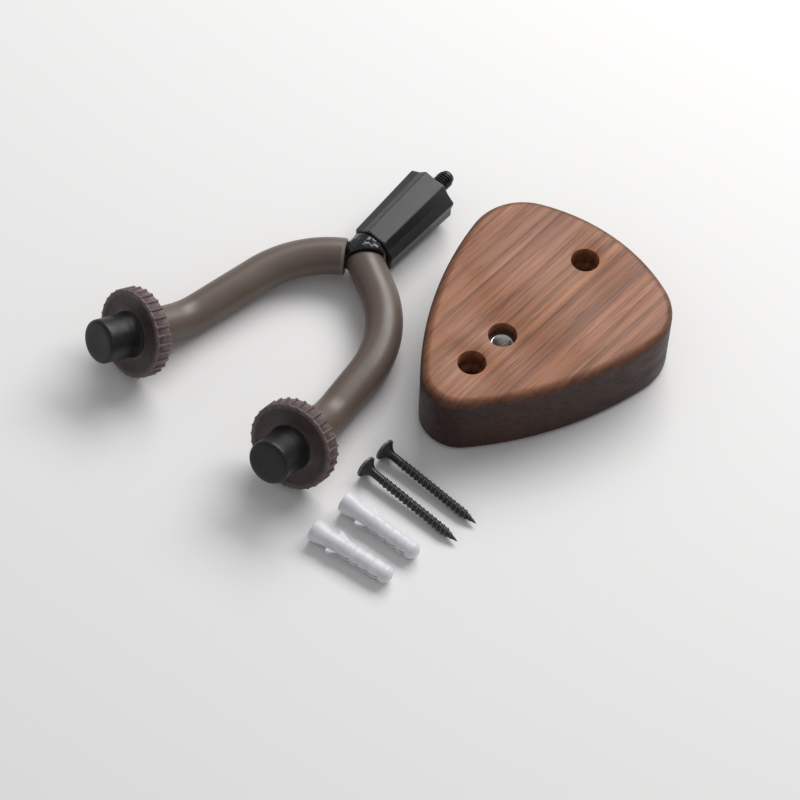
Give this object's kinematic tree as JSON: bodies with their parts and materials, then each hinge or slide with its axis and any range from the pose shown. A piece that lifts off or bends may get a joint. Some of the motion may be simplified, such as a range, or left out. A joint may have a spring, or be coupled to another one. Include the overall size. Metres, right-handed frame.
{
  "type": "wall guitar hanger",
  "caption": "Pick-shaped wooden wall base with threaded insert, and a screw-in swivelling rubber-sleeved yoke with keeper rings, laid out with wall screws and plugs.",
  "frame": {"origin": "centre of the threaded insert, on the base's back (wall) face", "axes": "+Z out of the base's front face, +Y up the wall once mounted (towards the wide end), +X to the right seen from the front"},
  "size_m": [0.146, 0.1478, 0.0295],
  "materials": {
    "walnut": "oiled satin",
    "zinc_steel": "zinc plated",
    "black_plastic": "fine pebbled matte",
    "black_oxide": "black oxide",
    "black_weld": "gloss black over rough weld",
    "bright_steel": "bright drawn",
    "nylon": "natural",
    "brown_rubber": "satin",
    "ring_plastic": "satin moulded",
    "black_rubber": "satin",
    "phosphate": "black phosphate",
    "plug_nylon": "translucent white"
  },
  "bodies": {
    "base": {"wood_base": "walnut", "threaded_insert": "zinc_steel"},
    "yoke": {"crown_shank": "black_weld", "retaining_clip": "bright_steel", "yoke_rod_left": "bright_steel", "yoke_rod_right": "bright_steel", "hose_left": "brown_rubber", "hose_right": "brown_rubber", "end_cap_left": "black_rubber", "end_cap_right": "black_rubber"},
    "grip": {"collar_grip": "black_plastic", "steel_core": "bright_steel", "threaded_stud": "black_oxide", "thrust_washer": "nylon"},
    "ring_left": {"keeper_ring_left": "ring_plastic"},
    "ring_right": {"keeper_ring_right": "ring_plastic"},
    "screw_1": {"wall_screw_1": "phosphate"},
    "screw_2": {"wall_screw_2": "phosphate"},
    "plug_1": {"wall_plug_1": "plug_nylon"},
    "plug_2": {"wall_plug_2": "plug_nylon"}
  },
  "joints": [
    {"name": "yoke_lift", "type": "slide", "parent": "base", "child": "yoke", "axis": [0, 0, 1], "range_m": [0, 0.1]},
    {"name": "grip_swivel", "type": "hinge", "parent": "yoke", "child": "grip", "pos_m": [-0.0622, 0.0071, 0.0089], "axis": [-0.0418, 0.9981, 0.0454], "continuous": true},
    {"name": "ring_left_turn", "type": "hinge", "parent": "yoke", "child": "ring_left", "pos_m": [-0.09273, -0.074, 0.01476], "axis": [-0.1645, -0.9024, 0.3982], "continuous": true},
    {"name": "ring_right_turn", "type": "hinge", "parent": "yoke", "child": "ring_right", "pos_m": [-0.02499, -0.07116, 0.01476], "axis": [0.1243, -0.9092, 0.3973], "continuous": true},
    {"name": "screw_1_lift", "type": "slide", "parent": "base", "child": "screw_1", "axis": [0, 0, 1], "range_m": [0, 0.1]},
    {"name": "screw_2_lift", "type": "slide", "parent": "base", "child": "screw_2", "axis": [0, 0, 1], "range_m": [0, 0.1]},
    {"name": "plug_1_lift", "type": "slide", "parent": "base", "child": "plug_1", "axis": [0, 0, 1], "range_m": [0, 0.1]},
    {"name": "plug_2_lift", "type": "slide", "parent": "base", "child": "plug_2", "axis": [0, 0, 1], "range_m": [0, 0.1]}
  ]
}
